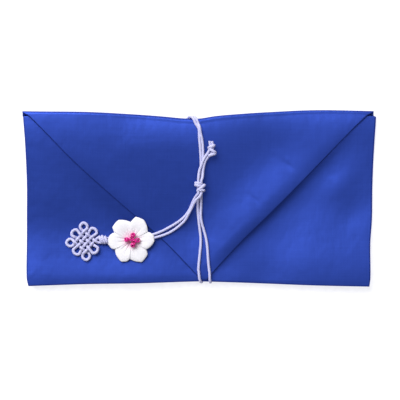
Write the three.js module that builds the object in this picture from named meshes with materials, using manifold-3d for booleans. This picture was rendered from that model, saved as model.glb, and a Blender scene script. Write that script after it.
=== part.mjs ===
// A cloth gift envelope, lying on its back: a flat pocket with a pointed flap folded over it,
// tied round the middle with a doubled cord that carries a ribbon flower and a woven knot.
// Millimetres: +X to the right, +Y to the flap's fold, +Z up. The floor is at z = 0.
import * as THREE from "three";
import { mergeVertices } from "three/addons/utils/BufferGeometryUtils.js";
import Module from "manifold-3d";

const wasm = await Module();
wasm.setup();

// Cloth
const WALL = 1.0;
const GAP = 0.3;
const FLAP_GAP = 0.4;
const SEAM_HOLLOW = 0.4;
const SIDE_REACH = 24;
const BOTTOM_REACH = 17;
const SWELL_POWER = 2.4;
const EDGE_LIFT = 1.5;
const LIFT_REACH = 10;
const MOUTH_DROP = 3.4;
const MOUTH_SLANT = 0.012;
const CORNER_DROP = 1.9;
const CORNER_REACH = 8;

// Sections along the envelope: its top and bottom outline, the rise of its back and its hollow
const SECTIONS = [
  { x: -100, top: 48.7, bottom: -49.3, rise: 0, hollow: 5.7 },
  { x: -62, top: 48.3, bottom: -47.9, rise: 0, hollow: 6.2 },
  { x: -36, top: 47.0, bottom: -47.6, rise: 0, hollow: 5.3 },
  { x: -21, top: 45.9, bottom: -47.4, rise: 0, hollow: 3.6 },
  { x: -9, top: 44.8, bottom: -47.2, rise: 2.1, hollow: 1.5 },
  { x: 0, top: 44.7, bottom: -47.0, rise: 2.2, hollow: 1.0 },
  { x: 9, top: 46.1, bottom: -47.2, rise: 2.1, hollow: 1.5 },
  { x: 22, top: 47.3, bottom: -47.4, rise: 0, hollow: 3.8 },
  { x: 38, top: 48.4, bottom: -47.9, rise: 0, hollow: 5.4 },
  { x: 66, top: 49.6, bottom: -49.2, rise: 0, hollow: 6.3 },
  { x: 100, top: 49.6, bottom: -49.8, rise: 0, hollow: 5.7 },
];

// Side edges of the pocket, from the bottom up
const SIDE_ROWS = [
  { y: -50, left: -96.9, right: 95.6 },
  { y: -45, left: -98.0, right: 96.3 },
  { y: -16, left: -98.0, right: 96.8 },
  { y: 14, left: -98.0, right: 97.5 },
  { y: 30, left: -98.9, right: 98.5 },
  { y: 46, left: -99.7, right: 99.7 },
];

// Edges of the pointed flap, from its tip up to the fold
const FLAP_ROWS = [
  { y: -46.6, left: 1.2, right: 3.8 },
  { y: -43.3, left: -1.7, right: 6.3 },
  { y: -23.7, left: -20.7, right: 24.5 },
  { y: -9.8, left: -36.6, right: 38.9 },
  { y: 2.4, left: -50.8, right: 51.6 },
  { y: 19.2, left: -69.9, right: 68.7 },
  { y: 32.8, left: -83.8, right: 82.4 },
  { y: 48.6, left: -99.7, right: 98.5 },
];
const RIGHT_EDGE_LIFT = 2.2;
const RIGHT_EDGE_REACH = 24;
const STEP_FOOT = 7;
const STEP_TOP = 2;

// Soft folds and dents of the front: middle, direction in degrees, half lengths and height
const FOLDS = [
  { x: 31, y: -6, turn: 46, length: 30, width: 7, height: 0.5 },
  { x: 70, y: -8, turn: 62, length: 22, width: 11, height: 0.5 },
  { x: 48, y: -25, turn: 40, length: 16, width: 8, height: -0.4 },
  { x: -55, y: -41, turn: 2, length: 34, width: 4, height: 0.5 },
  { x: 58, y: -42, turn: 0, length: 30, width: 4, height: 0.4 },
  { x: -62, y: -2, turn: -40, length: 26, width: 10, height: -0.5 },
  { x: -70, y: 38, turn: 0, length: 40, width: 6, height: 0.4 },
  { x: 62, y: 38, turn: 0, length: 36, width: 6, height: 0.4 },
];

// Grids of the cloth
const POCKET_COLUMNS = 26;
const POCKET_ROWS = 10;
const FLAP_COLUMNS = 24;
const FLAP_FRONT_ROWS = 12;
const FLAP_ROLL_ROWS = 6;
const COLUMN_EASE = 0.5;
const ROW_POWER = 1.3;
const SLOPE_STEP = 1e-3;

// Cord and its knots
const CORD = 1.5;
const CORD_SIDES = 8;
const KNOT_SIDES = 6;
const RING_STEPS = 10;
const STEPS_PER_POINT = 2;
const EDGE_STEPS = 6;
const TOP_SQUARE = 0.75;
const FOOT_SQUARE = 0.5;
const FOOT_REACH = 5;
const BACK_STEPS = 4;
const BUNDLE_HALF = 0.85;
const LOW_LIFT = 0.9;
const HIGH_LIFT = 2.6;
const CENTRE_KNOT = { x: 0.2, y: 6.0, core: 2.1, length: 6.4, height: 2.5 };
const END_KNOT = { x: 6.9, y: 26.6, core: 1.7, length: 8.4, height: 2.3, lean: -15 };
const CONNECTOR_KNOT = { x: -55.4, y: -23.6, core: 1.6, length: 4.2, height: 2.0 };
const CENTRE_RINGS = [
  { along: 2.1, radius: 2.2, tilt: 4 },
  { along: 0.3, radius: 2.3, tilt: -4 },
  { along: -1.7, radius: 2.2, tilt: 24 },
];
const END_RINGS = [
  { along: 2.6, radius: 1.7, tilt: 18 },
  { along: 0.6, radius: 1.9, tilt: -26 },
  { along: -2.2, radius: 1.7, tilt: 10 },
];
const CONNECTOR_RINGS = [
  { along: 0.9, radius: 1.9, tilt: 28 },
  { along: -0.9, radius: 1.9, tilt: 28 },
];

// Cord routes on the front, as places on the cloth and how far the cord is lifted off it
const KNOT_TOP = CENTRE_KNOT.y + CENTRE_KNOT.length / 2 + 2 * GAP;
const KNOT_FOOT = CENTRE_KNOT.y - CENTRE_KNOT.length / 2 - 2 * GAP;
const KNOT_LEFT = CENTRE_KNOT.x - BUNDLE_HALF;
const KNOT_RIGHT = CENTRE_KNOT.x + BUNDLE_HALF;
const WRAP_LEFT = {
  up: [
    { x: KNOT_LEFT, y: KNOT_TOP, lift: LOW_LIFT },
    { x: 0.1, y: 18.6, lift: 0 },
    { x: -0.1, y: 31.1, lift: 0 },
    { x: -0.6, y: 36.6, lift: 0 },
  ],
  overTop: { front: -4.4, back: -8.8 },
  underFoot: { front: -0.6, back: 1.6 },
  down: [
    { x: KNOT_LEFT, y: KNOT_FOOT, lift: LOW_LIFT },
    { x: -1.0, y: -5.8, lift: 0 },
    { x: -0.4, y: -13.2, lift: 0 },
    { x: 0.7, y: -24.0, lift: 0 },
    { x: -0.2, y: -38.0, lift: 0 },
  ],
};
const WRAP_RIGHT = {
  up: [
    { x: KNOT_RIGHT, y: KNOT_TOP, lift: LOW_LIFT },
    { x: 2.0, y: 18.6, lift: 0 },
    { x: 2.3, y: 31.1, lift: 0 },
    { x: 1.5, y: 36.6, lift: 0 },
  ],
  overTop: { front: -1.6, back: -5.6 },
  underFoot: { front: 6.0, back: 5.6 },
  down: [
    { x: KNOT_RIGHT, y: KNOT_FOOT, lift: LOW_LIFT },
    { x: 0.9, y: -5.8, lift: 0 },
    { x: 1.6, y: -13.2, lift: 0 },
    { x: 4.2, y: -24.0, lift: 0 },
    { x: 5.6, y: -38.0, lift: 0 },
  ],
};
const FLOWER_UPPER = [
  { x: KNOT_LEFT, y: KNOT_FOOT, lift: HIGH_LIFT },
  { x: -1.9, y: 0.9, lift: 1.8 },
  { x: -3.3, y: -1.4, lift: 0.8 },
  { x: -4.9, y: -5.2, lift: 0 },
  { x: -6.6, y: -8.3, lift: 0 },
  { x: -9.7, y: -11.8, lift: 0 },
  { x: -17.3, y: -16.8, lift: 0 },
  { x: -25.4, y: -20.4, lift: 0 },
  { x: -38.3, y: -22.4, lift: 0 },
  { x: -49.0, y: -22.7, lift: 0 },
  { x: CONNECTOR_KNOT.x + CONNECTOR_KNOT.length / 2 + GAP, y: -22.7, lift: 0.6 },
];
const FLOWER_LOWER = [
  { x: KNOT_RIGHT, y: KNOT_FOOT, lift: HIGH_LIFT },
  { x: 0.1, y: 0.7, lift: 3.4 },
  { x: -2.2, y: -1.6, lift: 2.9 },
  { x: -4.3, y: -5.5, lift: 1.9 },
  { x: -6.0, y: -8.9, lift: 1.8 },
  { x: -8.6, y: -13.2, lift: 0.8 },
  { x: -16.4, y: -19.3, lift: 0 },
  { x: -25.0, y: -22.4, lift: 0 },
  { x: -38.3, y: -24.5, lift: 0 },
  { x: -49.0, y: -24.5, lift: 0 },
  { x: CONNECTOR_KNOT.x + CONNECTOR_KNOT.length / 2 + GAP, y: -24.5, lift: 0.6 },
];
const END_LEFT = [
  { x: KNOT_LEFT, y: KNOT_TOP, lift: HIGH_LIFT },
  { x: 0.5, y: 14.3, lift: 2.2 },
  { x: 2.6, y: 18.8, lift: 1.9 },
  { x: 4.75, y: 22.2, lift: 1.2 },
];
const END_RIGHT = [
  { x: KNOT_RIGHT, y: KNOT_TOP, lift: HIGH_LIFT },
  { x: 2.5, y: 13.6, lift: 2.0 },
  { x: 4.6, y: 17.8, lift: 1.0 },
  { x: 6.35, y: 21.7, lift: 1.2 },
];

// Woven ornament knot: four strands each way on a square lattice, turned against the envelope
const ORNAMENT = { x: -64.4, y: -24.9, pitch: 2.56, turn: 53, weave: 0.6 };
const ORNAMENT_STEP = 1.5;
const MID_EAR = [
  { a: 2.5, b: 0.75 },
  { a: 3.3, b: 0.5 },
  { a: 3.3, b: -0.5 },
  { a: 2.5, b: -0.75 },
];
const CORNER_EAR = [
  { a: 2.35, b: 1.6 },
  { a: 3.05, b: 1.95 },
  { a: 3.1, b: 2.65 },
  { a: 2.65, b: 3.1 },
  { a: 1.95, b: 3.05 },
  { a: 1.6, b: 2.35 },
];
const EXIT = 1.9;

// Flower of six petals on a small pad, and the beads round its middle
const FLOWER = { x: -38.3, y: -24.0, turn: -1, petals: 6 };
const PAD = { radius: 5.5, thickness: 0.8, sides: 20 };
const PETAL_THICKNESS = 1.1;
const PETAL_CROWN = 0.9;
const PETAL_DROOP = 0.7;
const PETAL_GRID = { across: 6, along: 6 };
const SLOPE_REACH = 11;
const SLOPE_SHARE = 0.7;
const PETAL_ROWS = [
  { r: 1.6, half: 0.5 },
  { r: 4.0, half: 1.8 },
  { r: 7.0, half: 3.5 },
  { r: 9.8, half: 5.1 },
  { r: 11.6, half: 4.9 },
  { r: 13.2, half: 2.6 },
];
const BEAD = { outer: 1.15, hole: 0.35, half: 0.8, sides: 10 };
const BEADS = [
  { x: 0.5, y: 3.9, tilt: 30, turn: 100 },
  { x: 0.0, y: 1.4, tilt: 20, turn: 60 },
  { x: -3.1, y: 0.4, tilt: 35, turn: 170 },
  { x: 3.0, y: -0.1, tilt: 30, turn: 10 },
  { x: -0.2, y: -1.2, tilt: 10, turn: 250 },
  { x: 0.2, y: -3.7, tilt: 30, turn: 270 },
];

const BLUE = new THREE.MeshStandardMaterial({ color: 0x2d47a6, roughness: 0.45, metalness: 0 });
const LAVENDER = new THREE.MeshStandardMaterial({ color: 0xcfcaea, roughness: 0.7, metalness: 0 });
const WHITE = new THREE.MeshStandardMaterial({ color: 0xefecf2, roughness: 0.6, metalness: 0 });
const MAGENTA = new THREE.MeshStandardMaterial({ color: 0xc01872, roughness: 0.08, metalness: 0 });

const mix = THREE.MathUtils.lerp;
const rad = THREE.MathUtils.degToRad;
const clamp = THREE.MathUtils.clamp;
const ease = THREE.MathUtils.smoothstep;

// A smooth reading between the rows of a table.
function read(table, key, at, column) {
  const last = table.length - 1;
  const slope = (i) => {
    const before = table[Math.max(i - 1, 0)];
    const after = table[Math.min(i + 1, last)];
    return (after[column] - before[column]) / (after[key] - before[key]);
  };
  let i = 0;
  while (i < last - 1 && at > table[i + 1][key]) {
    i += 1;
  }
  const span = table[i + 1][key] - table[i][key];
  const t = clamp((at - table[i][key]) / span, 0, 1);
  const bend = t * (1 - t);
  const blend = t * t * (3 - 2 * t);
  const leave = bend * (1 - t) * slope(i) * span;
  const arrive = -bend * t * slope(i + 1) * span;
  return mix(table[i][column], table[i + 1][column], blend) + leave + arrive;
}

// Outline of the envelope in plan
const topEdge = (x) => read(SECTIONS, "x", x, "top");
const bottomEdge = (x) => read(SECTIONS, "x", x, "bottom");
const leftEdge = (y) => read(SIDE_ROWS, "y", y, "left");
const rightEdge = (y) => read(SIDE_ROWS, "y", y, "right");
const flapLeft = (y) => read(FLAP_ROWS, "y", y, "left");
const flapRight = (y) => read(FLAP_ROWS, "y", y, "right");
const FOOT_ROW = SIDE_ROWS[0];
const MOUTH_ROW = SIDE_ROWS[SIDE_ROWS.length - 1];

// The mouth lies below the fold, and drops away at the right corner.
function mouthEdge(x) {
  const corner = CORNER_DROP * clamp((x - MOUTH_ROW.right) / CORNER_REACH + 1, 0, 1) ** 2;
  return topEdge(x) - MOUTH_DROP + MOUTH_SLANT * Math.abs(x) - corner;
}

// How far the cloth has swelled at a distance from its sewn or folded edge.
function swell(distance, reach) {
  return 1 - (1 - clamp(distance / reach, 0, 1)) ** SWELL_POWER;
}

function sideDistance(x, y) {
  return Math.min(x - leftEdge(y), rightEdge(y) - x);
}

// The back of the pocket: flat on the floor, raised at the waist and at its edges.
function backHeight(x, y) {
  const rise = Math.max(0, read(SECTIONS, "x", x, "rise"));
  const edge = Math.min(sideDistance(x, y), y - bottomEdge(x));
  const lift = EDGE_LIFT * (1 - clamp(edge / LIFT_REACH, 0, 1)) ** 2;
  return Math.max(rise, lift);
}

function foldHeight(x, y) {
  let height = 0;
  for (const fold of FOLDS) {
    const turn = rad(fold.turn);
    const along = (x - fold.x) * Math.cos(turn) + (y - fold.y) * Math.sin(turn);
    const across = (y - fold.y) * Math.cos(turn) - (x - fold.x) * Math.sin(turn);
    height += fold.height * Math.exp(-((along / fold.length) ** 2) - (across / fold.width) ** 2);
  }
  return height;
}

// Clear height inside the pocket.
function hollowHeight(x, y) {
  const side = swell(sideDistance(x, y), SIDE_REACH);
  const foot = swell(y - bottomEdge(x), BOTTOM_REACH);
  const full = read(SECTIONS, "x", x, "hollow") + foldHeight(x, y) - SEAM_HOLLOW;
  return SEAM_HOLLOW + Math.max(0, full) * side * foot;
}

function frontHeight(x, y) {
  return backHeight(x, y) + 2 * WALL + hollowHeight(x, y);
}

// The right edge of the flap stands off the front a little.
function flapLift(x, y) {
  const near = ease(RIGHT_EDGE_REACH - (flapRight(y) - x), 0, RIGHT_EDGE_REACH);
  const share = clamp((y - FLAP_ROWS[0].y) / (mouthEdge(x) - FLAP_ROWS[0].y), 0, 1);
  return RIGHT_EDGE_LIFT * near * Math.sin(Math.PI * share);
}

function flapHeight(x, y) {
  return frontHeight(x, y) + FLAP_GAP + WALL + flapLift(x, y);
}

// The highest cloth at a place, with an easy step up onto the flap.
function coverHeight(x, y) {
  const inside = Math.min(x - flapLeft(y), flapRight(y) - x, y - FLAP_ROWS[0].y);
  return mix(frontHeight(x, y), flapHeight(x, y), ease(inside, -STEP_FOOT, -STEP_TOP));
}

// A closed slab between two grids of points, with a wall round its rim.
function slab(columns, rows, upper, lower) {
  const places = [];
  const faces = [];
  const stride = columns + 1;
  const layer = stride * (rows + 1);
  for (const surface of [upper, lower]) {
    for (let row = 0; row <= rows; row += 1) {
      for (let column = 0; column <= columns; column += 1) {
        places.push(...surface(column / columns, row / rows));
      }
    }
  }
  const at = (side, column, row) => side * layer + row * stride + column;
  const quad = (a, b, c, d) => faces.push(a, b, c, a, c, d);
  for (let row = 0; row < rows; row += 1) {
    for (let column = 0; column < columns; column += 1) {
      const next = column + 1;
      quad(at(0, column, row), at(0, next, row), at(0, next, row + 1), at(0, column, row + 1));
      quad(at(1, column, row), at(1, column, row + 1), at(1, next, row + 1), at(1, next, row));
    }
    quad(at(0, 0, row), at(0, 0, row + 1), at(1, 0, row + 1), at(1, 0, row));
    quad(at(1, columns, row), at(1, columns, row + 1), at(0, columns, row + 1), at(0, columns, row));
  }
  for (let column = 0; column < columns; column += 1) {
    const next = column + 1;
    quad(at(1, column, 0), at(1, next, 0), at(0, next, 0), at(0, column, 0));
    quad(at(0, column, rows), at(0, next, rows), at(1, next, rows), at(1, column, rows));
  }
  const geometry = new THREE.BufferGeometry();
  geometry.setAttribute("position", new THREE.Float32BufferAttribute(places, 3));
  geometry.setIndex(faces);
  return geometry;
}

// A slab of even thickness on both sides of a middle surface.
function sheet(columns, rows, thickness, middle) {
  const surface = (side) => (u, v) => {
    const here = middle(u, v);
    const across = middle(u + SLOPE_STEP, v).sub(middle(u - SLOPE_STEP, v));
    const along = middle(u, v + SLOPE_STEP).sub(middle(u, v - SLOPE_STEP));
    const normal = across.cross(along).normalize();
    return here.addScaledVector(normal, (side * thickness) / 2).toArray();
  };
  return slab(columns, rows, surface(1), surface(-1));
}

// Solids for cutting and joining
function solidOf(geometry) {
  const bare = geometry.clone();
  bare.deleteAttribute("normal");
  bare.deleteAttribute("uv");
  const merged = mergeVertices(bare, 1e-4);
  const vertProperties = new Float32Array(merged.attributes.position.array);
  const triVerts = new Uint32Array(merged.index.array);
  return new wasm.Manifold(new wasm.Mesh({ numProp: 3, vertProperties, triVerts }));
}

function geometryOf(solid) {
  const mesh = solid.getMesh();
  const geometry = new THREE.BufferGeometry();
  geometry.setAttribute("position", new THREE.BufferAttribute(mesh.vertProperties, 3));
  geometry.setIndex(new THREE.BufferAttribute(mesh.triVerts, 1));
  return geometry;
}

function fused(geometries) {
  const solids = geometries.map(solidOf);
  return geometryOf(solids.reduce((whole, solid) => whole.add(solid)));
}

const envelope = new THREE.Group();
envelope.name = "gift_envelope";

function place(name, geometry, material) {
  geometry.computeVertexNormals();
  const mesh = new THREE.Mesh(geometry, material);
  mesh.name = name;
  envelope.add(mesh);
}

// Pocket: a swelled front panel and a flat back panel that meet at the side seams and the bottom
const evenColumns = (u) => u - (COLUMN_EASE * Math.sin(4 * Math.PI * u)) / (4 * Math.PI);

function pocketPanel(height, over, under) {
  const surface = (offset) => (u, v) => {
    const share = evenColumns(u);
    const foot = bottomEdge(mix(FOOT_ROW.left, FOOT_ROW.right, share));
    const mouth = mouthEdge(mix(MOUTH_ROW.left, MOUTH_ROW.right, share));
    const y = mix(foot, mouth, v ** ROW_POWER);
    const x = mix(leftEdge(y), rightEdge(y), share);
    return [x, y, height(x, y) + offset];
  };
  return slab(POCKET_COLUMNS, POCKET_ROWS, surface(over), surface(under));
}

place("pocket_front", pocketPanel(frontHeight, 0, -WALL), BLUE);
place("pocket_back", pocketPanel(backHeight, WALL, 0), BLUE);

// Flap: a sheet from its tip up over the front, round the fold and down to the pocket's back
const FLAP_ROWS_ALL = FLAP_FRONT_ROWS + FLAP_ROLL_ROWS;
const FOLD_CORNER = FLAP_ROWS[FLAP_ROWS.length - 1];

function flapRollSize(x) {
  const start = mouthEdge(x) + GAP;
  const low = backHeight(x, start) + WALL / 2;
  const high = flapHeight(x, start) - WALL / 2;
  return { start, depth: topEdge(x) - WALL / 2 - start, middle: (low + high) / 2, half: (high - low) / 2 };
}

function flapMiddle(u, v) {
  const share = clamp(evenColumns(u), -SLOPE_STEP, 1 + SLOPE_STEP);
  const row = v * FLAP_ROWS_ALL;
  if (row <= FLAP_FRONT_ROWS) {
    const up = row / FLAP_FRONT_ROWS;
    const level = mix(FLAP_ROWS[0].y, FOLD_CORNER.y - MOUTH_DROP, up);
    const x = mix(flapLeft(level), flapRight(level), share);
    const y = level + (mouthEdge(x) + GAP - FOLD_CORNER.y + MOUTH_DROP) * up * up;
    return new THREE.Vector3(x, y, flapHeight(x, y) - WALL / 2);
  }
  const angle = (Math.PI * (row - FLAP_FRONT_ROWS)) / FLAP_ROLL_ROWS;
  const level = FOLD_CORNER.y - MOUTH_DROP * Math.max(0, Math.cos(angle));
  const x = mix(flapLeft(level), flapRight(level), share);
  const roll = flapRollSize(x);
  const y = roll.start + roll.depth * Math.sin(angle);
  return new THREE.Vector3(x, y, roll.middle + roll.half * Math.cos(angle));
}

place("flap", sheet(FLAP_COLUMNS, FLAP_ROWS_ALL, WALL, flapMiddle), BLUE);

// Cords: round tubes swept along a smooth curve
function ring(sides, radius) {
  const points = [];
  for (let i = 0; i < sides; i += 1) {
    const angle = (2 * Math.PI * (i + 0.5)) / sides;
    points.push(new THREE.Vector2(radius * Math.cos(angle), radius * Math.sin(angle)));
  }
  return new THREE.Shape(points);
}

// A curve that is stepped from point to point, so that close points give a finer bend.
class Route extends THREE.CatmullRomCurve3 {
  getSpacedPoints(steps) {
    return this.getPoints(steps);
  }

  getTangentAt(share, target) {
    return this.getTangent(share, target);
  }
}

function cordTube(points, sides, stepsPerPoint) {
  const extrudePath = new Route(points, false, "centripetal");
  const steps = stepsPerPoint * (points.length - 1);
  return new THREE.ExtrudeGeometry(ring(sides, CORD / 2), { steps, extrudePath, bevelEnabled: false });
}

function laid({ x, y, lift }) {
  return new THREE.Vector3(x, y, coverHeight(x, y) + GAP + CORD / 2 + lift);
}

function laidCord(name, route) {
  place(name, cordTube(route.map(laid), CORD_SIDES, STEPS_PER_POINT), LAVENDER);
}

// The part of a wrap that bends round an edge of the envelope, from the front to the back.
function roundEdge(crossing, start, edge, front, back, square) {
  const points = [];
  const clear = GAP + CORD / 2;
  const reach = Math.abs(edge - start) + clear;
  const outward = Math.sign(edge - start);
  for (let i = 0; i <= EDGE_STEPS; i += 1) {
    const angle = (Math.PI * i) / EDGE_STEPS;
    const x = mix(crossing.front, crossing.back, i / EDGE_STEPS);
    const out = Math.abs(Math.sin(angle)) ** square;
    const up = Math.sign(Math.cos(angle)) * Math.abs(Math.cos(angle)) ** square;
    const y = start + outward * reach * out;
    const z = (front + back) / 2 + ((front - back) / 2 + clear) * up;
    points.push(new THREE.Vector3(x, y, z));
  }
  return points;
}

function wrapCord(name, wrap) {
  const top = wrap.overTop;
  const foot = wrap.underFoot;
  const roll = flapRollSize(top.back);
  const footEdge = bottomEdge(foot.front) - 2 * GAP;
  const footStart = footEdge + FOOT_REACH;
  const over = roundEdge(top, roll.start, roll.start + roll.depth + WALL / 2,
    coverHeight(top.front, roll.start), backHeight(top.back, roll.start), TOP_SQUARE);
  const under = roundEdge(foot, footStart, footEdge,
    coverHeight(foot.front, footStart), backHeight(foot.back, footStart), FOOT_SQUARE);
  const behind = [];
  for (let i = 1; i < BACK_STEPS; i += 1) {
    const x = mix(top.back, foot.back, i / BACK_STEPS);
    const y = mix(roll.start, footStart, i / BACK_STEPS);
    behind.push(new THREE.Vector3(x, y, backHeight(x, y) - GAP - CORD / 2));
  }
  const points = [
    ...wrap.up.map(laid), ...over, ...behind, ...under.reverse(), ...wrap.down.map(laid).reverse(),
  ];
  place(name, cordTube(points, CORD_SIDES, STEPS_PER_POINT), LAVENDER);
}

wrapCord("wrap_cord_left", WRAP_LEFT);
wrapCord("wrap_cord_right", WRAP_RIGHT);
laidCord("flower_cord_upper", FLOWER_UPPER);
laidCord("flower_cord_lower", FLOWER_LOWER);
laidCord("end_cord_left", END_LEFT);
laidCord("end_cord_right", END_RIGHT);

// Small knots: a bundle of strands with rings of cord drawn tight round it
function boundKnot(name, knot, rings, lean) {
  const core = new THREE.CylinderGeometry(knot.core, knot.core, knot.length, CORD_SIDES);
  const parts = [core];
  for (const { along, radius, tilt } of rings) {
    const loop = new THREE.TorusGeometry(radius, CORD / 2, KNOT_SIDES, RING_STEPS);
    loop.rotateX(Math.PI / 2);
    loop.rotateZ(rad(tilt));
    loop.translate(0, along, 0);
    parts.push(loop);
  }
  const geometry = fused(parts);
  geometry.computeBoundingBox();
  const half = (geometry.boundingBox.max.z - geometry.boundingBox.min.z) / 2;
  geometry.scale(1, 1, knot.height / half);
  geometry.rotateZ(rad(lean));
  geometry.translate(knot.x, knot.y, coverHeight(knot.x, knot.y) + GAP + knot.height);
  place(name, geometry, LAVENDER);
}

boundKnot("centre_knot", CENTRE_KNOT, CENTRE_RINGS, 0);
boundKnot("end_knot", END_KNOT, END_RINGS, END_KNOT.lean);
boundKnot("connector_knot", CONNECTOR_KNOT, CONNECTOR_RINGS, 90);

// Ornament knot: two long loops and an outer strand, passing over and under one another
function ornamentPoint({ a, b, over = 0 }) {
  const turn = rad(ORNAMENT.turn);
  const x = ORNAMENT.x + ORNAMENT.pitch * (a * Math.cos(turn) + b * Math.sin(turn));
  const y = ORNAMENT.y + ORNAMENT.pitch * (a * Math.sin(turn) - b * Math.cos(turn));
  const rest = coverHeight(x, y) + GAP + CORD / 2 + ORNAMENT.weave;
  return new THREE.Vector3(x, y, rest + over * ORNAMENT.weave);
}

const LATTICE = [-1.5, -0.5, 0.5, 1.5];
const crossingSide = (a, b) => ((a + b) % 2 === 0 ? 1 : -1);
const swapped = ({ a, b, over = 0 }) => ({ a: b, b: a, over: -over });

// One pass through the lattice along a, at a fixed b.
function latticePass(b, direction) {
  const stops = direction > 0 ? LATTICE : [...LATTICE].reverse();
  return stops.map((a) => ({ a, b, over: crossingSide(a, b) }));
}

function longLoop() {
  const turned = MID_EAR.map(({ a, b }) => ({ a: -a, b: -b }));
  return [...latticePass(0.5, 1), ...MID_EAR, ...latticePass(-0.5, -1), ...turned];
}

function outerStrand() {
  const ear = (signA, signB, reverse) => {
    const points = CORNER_EAR.map(({ a, b }) => ({ a: signA * a, b: signB * b }));
    return reverse ? points.reverse() : points;
  };
  return [
    { a: EXIT, b: 1.5 },
    ...latticePass(1.5, -1),
    ...ear(-1, 1, false),
    ...latticePass(-1.5, -1).map(swapped),
    ...ear(-1, -1, true),
    ...latticePass(-1.5, 1),
    ...ear(1, -1, false),
    ...latticePass(1.5, 1).map(swapped),
    { a: 1.5, b: EXIT },
  ];
}

function closedTube(stops) {
  const curve = new THREE.CatmullRomCurve3(stops.map(ornamentPoint), true, "centripetal");
  const steps = Math.ceil(curve.getLength() / ORNAMENT_STEP);
  return new THREE.TubeGeometry(curve, steps, CORD / 2, KNOT_SIDES, true);
}

const ornamentTubes = [
  closedTube(longLoop()),
  closedTube(longLoop().map(swapped)),
  cordTube(outerStrand().map(ornamentPoint), KNOT_SIDES, STEPS_PER_POINT),
];
place("ornament_knot", fused(ornamentTubes), LAVENDER);

// Flower: a small pad over the two strands, six arched petals on it and beads at the middle.
// It is built flat above its own middle and then laid along the slope of the cloth.
const slopeEnd = (side) => coverHeight(FLOWER.x + side * SLOPE_REACH, FLOWER.y);
const slopeRise = slopeEnd(1) - slopeEnd(-1);
const slopeX = (SLOPE_SHARE * slopeRise) / (2 * SLOPE_REACH);
const seat = new THREE.Matrix4().set(
  1, 0, 0, FLOWER.x,
  0, 1, 0, FLOWER.y,
  slopeX, 0, 1, coverHeight(FLOWER.x, FLOWER.y),
  0, 0, 0, 1,
);
const padFloor = CORD + 4 * GAP;
const petalFloor = padFloor + PAD.thickness + GAP;

function placeOnFlower(name, geometry, material) {
  geometry.applyMatrix4(seat);
  place(name, geometry, material);
}

const pad = new THREE.CylinderGeometry(PAD.radius, PAD.radius, PAD.thickness, PAD.sides);
pad.rotateX(Math.PI / 2);
pad.translate(0, 0, padFloor + PAD.thickness / 2);
placeOnFlower("flower_pad", pad, WHITE);

const PETAL_INNER = PETAL_ROWS[0].r;
const PETAL_TIP = PETAL_ROWS[PETAL_ROWS.length - 1].r;

function petalCrown(r) {
  const out = clamp((r - PETAL_INNER) / (PETAL_TIP - PETAL_INNER), 0, 1);
  return PETAL_CROWN * Math.sin(Math.PI * out);
}

function petalMiddle(u, v) {
  const across = 2 * u - 1;
  const r = mix(PETAL_INNER, PETAL_TIP, v);
  const half = read(PETAL_ROWS, "r", r, "half");
  const crown = petalCrown(r) * (1 - across * across);
  const droop = PETAL_DROOP * ease(r, PAD.radius, PETAL_TIP);
  return new THREE.Vector3(across * half, r, petalFloor + PETAL_THICKNESS / 2 + crown - droop);
}

for (let i = 0; i < FLOWER.petals; i += 1) {
  const petal = sheet(PETAL_GRID.across, PETAL_GRID.along, PETAL_THICKNESS, petalMiddle);
  petal.rotateZ(rad(FLOWER.turn + (360 * i) / FLOWER.petals - 90));
  placeOnFlower(`petal_${i + 1}`, petal, WHITE);
}

const BEAD_PROFILE = [
  { radius: BEAD.hole, height: 0 },
  { radius: BEAD.outer * 0.6, height: -BEAD.half },
  { radius: BEAD.outer, height: -BEAD.half * 0.45 },
  { radius: BEAD.outer, height: BEAD.half * 0.45 },
  { radius: BEAD.outer * 0.6, height: BEAD.half },
  { radius: BEAD.hole, height: 0 },
].map(({ radius, height }) => new THREE.Vector2(radius, height));

BEADS.forEach(({ x, y, tilt, turn }, i) => {
  const bead = new THREE.LatheGeometry(BEAD_PROFILE, BEAD.sides);
  bead.rotateX(Math.PI / 2);
  bead.rotateY(rad(tilt));
  bead.rotateZ(rad(turn));
  bead.computeBoundingBox();
  const petalTop = petalFloor + PETAL_THICKNESS + petalCrown(Math.hypot(x, y));
  bead.translate(x, y, petalTop + GAP - bead.boundingBox.min.z);
  placeOnFlower(`bead_${i + 1}`, bead, MAGENTA);
});

export default envelope;
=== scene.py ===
"""A satin gift envelope tied with a doubled cord: cloth, cord, knots, ribbon flower and beads.

Shapes are worked out in millimetres and written to the meshes in metres.
"""
import math

import bmesh
import bpy
import numpy as np
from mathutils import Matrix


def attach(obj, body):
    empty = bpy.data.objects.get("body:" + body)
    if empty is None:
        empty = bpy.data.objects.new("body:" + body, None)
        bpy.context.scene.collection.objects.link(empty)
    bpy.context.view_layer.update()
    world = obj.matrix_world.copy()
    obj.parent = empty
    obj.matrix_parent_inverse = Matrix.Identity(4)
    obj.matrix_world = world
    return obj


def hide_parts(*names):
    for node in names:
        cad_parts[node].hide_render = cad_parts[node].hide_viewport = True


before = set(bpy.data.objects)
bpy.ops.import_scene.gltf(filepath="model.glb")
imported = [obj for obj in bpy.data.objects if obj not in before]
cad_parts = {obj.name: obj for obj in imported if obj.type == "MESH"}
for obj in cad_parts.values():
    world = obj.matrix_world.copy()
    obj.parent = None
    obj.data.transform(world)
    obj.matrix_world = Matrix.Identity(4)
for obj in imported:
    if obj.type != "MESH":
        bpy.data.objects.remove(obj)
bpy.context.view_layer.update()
MM = 0.001


# Tables and small helpers

def rows(names, values):
    """A table as a dictionary of columns."""
    columns = np.array(values, float).T
    return dict(zip(names.split(), columns, strict=True))


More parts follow.
